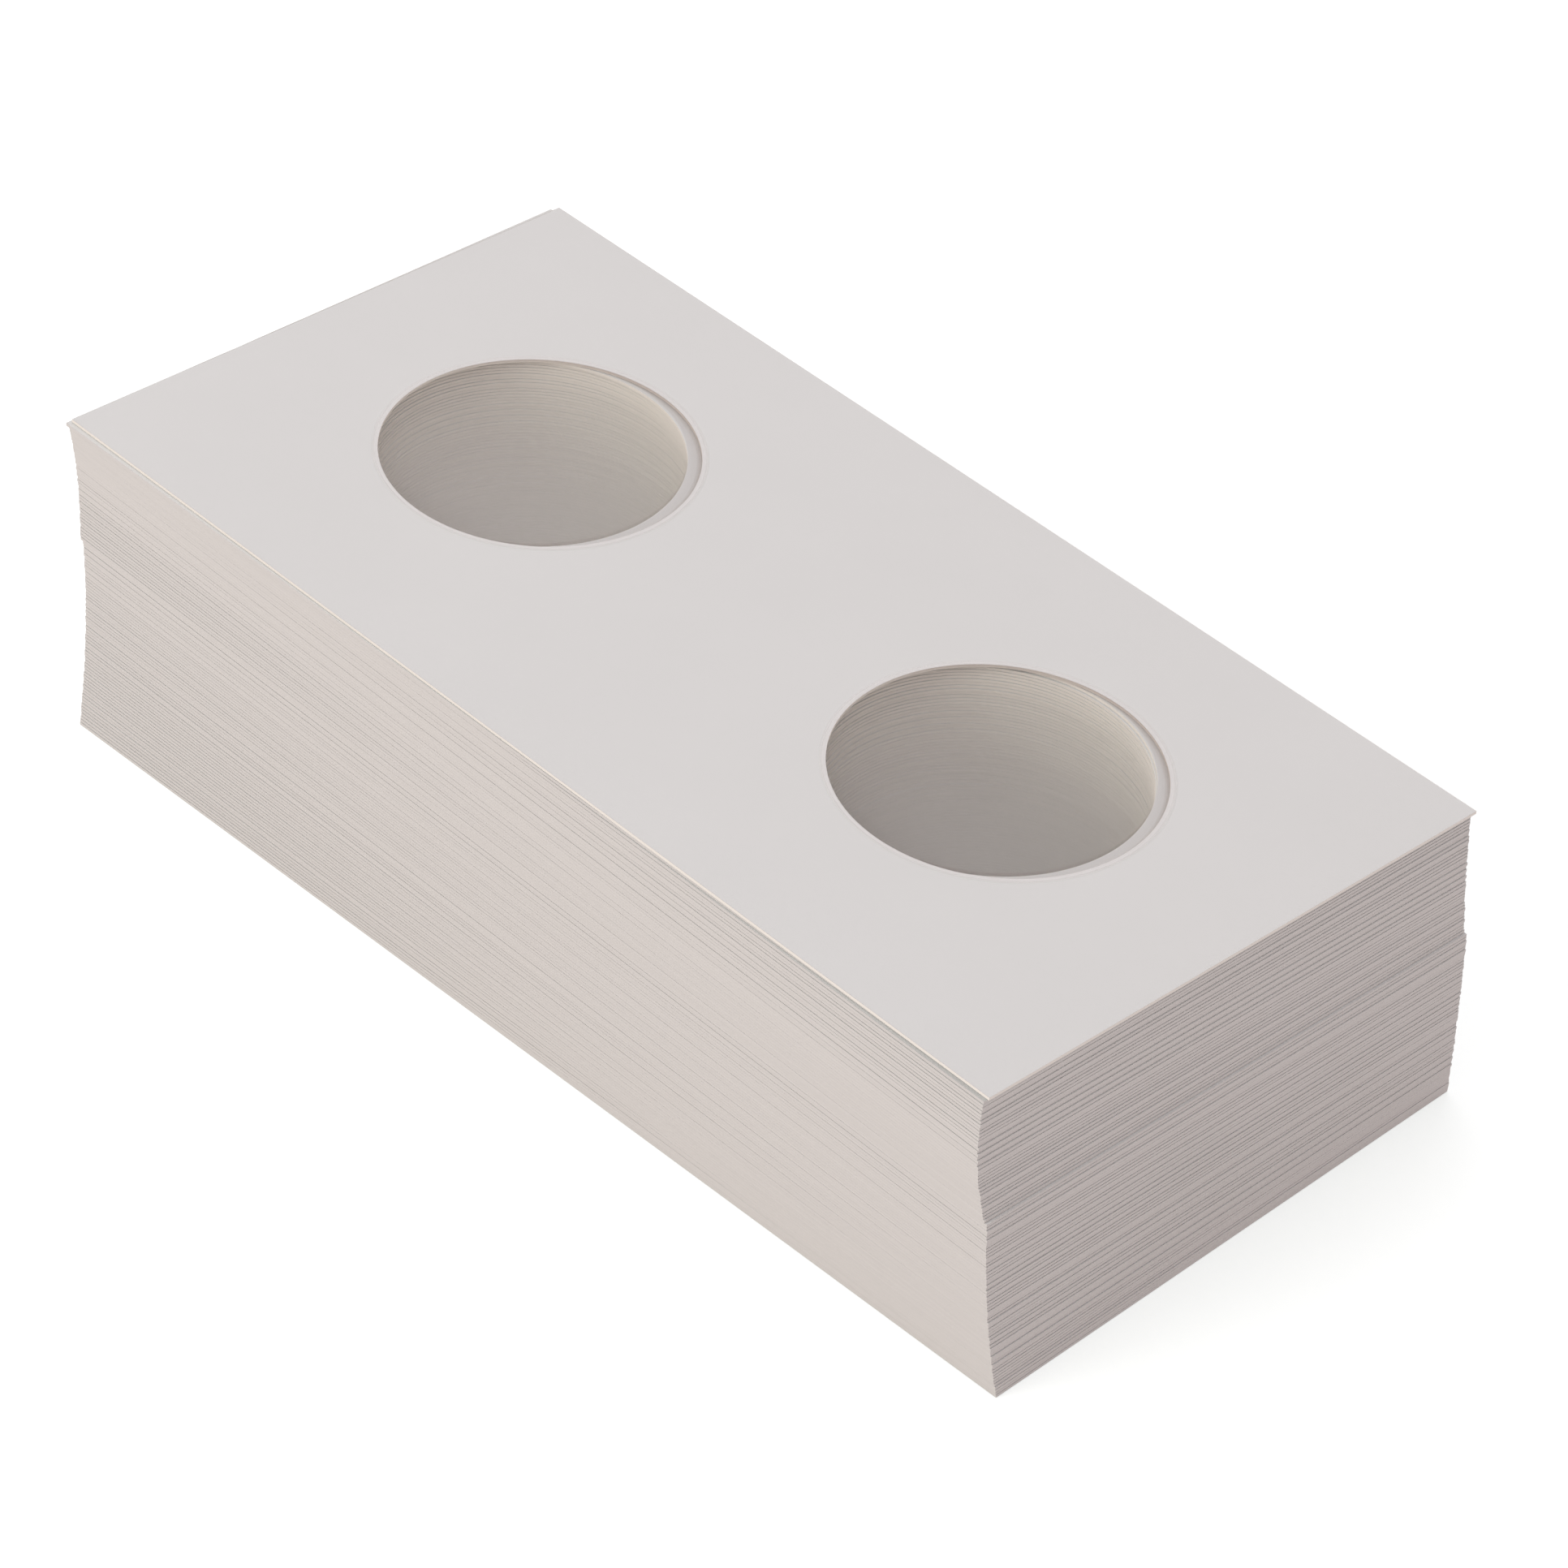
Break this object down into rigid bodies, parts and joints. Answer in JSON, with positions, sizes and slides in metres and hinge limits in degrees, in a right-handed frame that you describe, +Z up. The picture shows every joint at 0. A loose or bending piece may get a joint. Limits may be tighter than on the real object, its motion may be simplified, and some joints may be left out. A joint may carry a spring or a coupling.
{
  "type": "coin holder flips",
  "caption": "Squared pile of flat two by two inch cardboard coin flips, each a white scored strip with two round windows closed by clear film; the top one folds and the upper ones lift off.",
  "frame": {"origin": "on the surface the pile stands on, straight under the crease and the middle of the top holder", "axes": "+X along the strips from the fixed leaf to the folding leaf, +Y across them, +Z up"},
  "size_m": [0.1046, 0.0541, 0.028],
  "materials": {
    "paperboard": "matt white bleached board with cream cut edges",
    "clear_film": "clear glossy film"
  },
  "bodies": {
    "lower_pile": {"flips_41_50_boards": "paperboard", "flips_41_50_films": "clear_film", "flips_51_60_boards": "paperboard", "flips_51_60_films": "clear_film", "flips_61_70_boards": "paperboard", "flips_61_70_films": "clear_film", "flips_71_80_boards": "paperboard", "flips_71_80_films": "clear_film", "flips_81_90_boards": "paperboard", "flips_81_90_films": "clear_film", "flips_91_100_boards": "paperboard", "flips_91_100_films": "clear_film"},
    "upper_pile": {"flips_12_20_boards": "paperboard", "flips_12_20_films": "clear_film", "flips_21_30_boards": "paperboard", "flips_21_30_films": "clear_film", "flips_31_40_boards": "paperboard", "flips_31_40_films": "clear_film"},
    "flip_11": {"flip_11_board": "paperboard", "flip_11_film": "clear_film"},
    "flip_10": {"flip_10_board": "paperboard", "flip_10_film": "clear_film"},
    "flip_09": {"flip_09_board": "paperboard", "flip_09_film": "clear_film"},
    "flip_08": {"flip_08_board": "paperboard", "flip_08_film": "clear_film"},
    "flip_07": {"flip_07_board": "paperboard", "flip_07_film": "clear_film"},
    "flip_06": {"flip_06_board": "paperboard", "flip_06_film": "clear_film"},
    "flip_05": {"flip_05_board": "paperboard", "flip_05_film": "clear_film"},
    "flip_04": {"flip_04_board": "paperboard", "flip_04_film": "clear_film"},
    "flip_03": {"flip_03_board": "paperboard", "flip_03_film": "clear_film"},
    "flip_02": {"flip_02_board": "paperboard", "flip_02_film": "clear_film"},
    "top_flip_fixed_leaf": {"top_flip_fixed_board": "paperboard", "top_flip_fixed_film": "clear_film"},
    "top_flip_folding_leaf": {"top_flip_folding_board": "paperboard", "top_flip_folding_film": "clear_film"}
  },
  "joints": [
    {"name": "upper_pile_lift", "type": "slide", "parent": "lower_pile", "child": "upper_pile", "axis": [0, 0, 1], "range_m": [0, 0.04]},
    {"name": "flip_11_lift", "type": "slide", "parent": "upper_pile", "child": "flip_11", "axis": [0, 0, 1], "range_m": [0, 0.012]},
    {"name": "flip_10_lift", "type": "slide", "parent": "flip_11", "child": "flip_10", "axis": [0, 0, 1], "range_m": [0, 0.012]},
    {"name": "flip_09_lift", "type": "slide", "parent": "flip_10", "child": "flip_09", "axis": [0, 0, 1], "range_m": [0, 0.012]},
    {"name": "flip_08_lift", "type": "slide", "parent": "flip_09", "child": "flip_08", "axis": [0, 0, 1], "range_m": [0, 0.012]},
    {"name": "flip_07_lift", "type": "slide", "parent": "flip_08", "child": "flip_07", "axis": [0, 0, 1], "range_m": [0, 0.012]},
    {"name": "flip_06_lift", "type": "slide", "parent": "flip_07", "child": "flip_06", "axis": [0, 0, 1], "range_m": [0, 0.012]},
    {"name": "flip_05_lift", "type": "slide", "parent": "flip_06", "child": "flip_05", "axis": [0, 0, 1], "range_m": [0, 0.012]},
    {"name": "flip_04_lift", "type": "slide", "parent": "flip_05", "child": "flip_04", "axis": [0, 0, 1], "range_m": [0, 0.012]},
    {"name": "flip_03_lift", "type": "slide", "parent": "flip_04", "child": "flip_03", "axis": [0, 0, 1], "range_m": [0, 0.012]},
    {"name": "flip_02_lift", "type": "slide", "parent": "flip_03", "child": "flip_02", "axis": [0, 0, 1], "range_m": [0, 0.012]},
    {"name": "top_flip_lift", "type": "slide", "parent": "flip_02", "child": "top_flip_fixed_leaf", "axis": [0, 0, 1], "range_m": [0, 0.06]},
    {"name": "top_flip_fold", "type": "hinge", "parent": "top_flip_fixed_leaf", "child": "top_flip_folding_leaf", "pos_m": [0, 0, 0.02802], "axis": [0, -1, 0], "range_deg": [0, 180]}
  ]
}
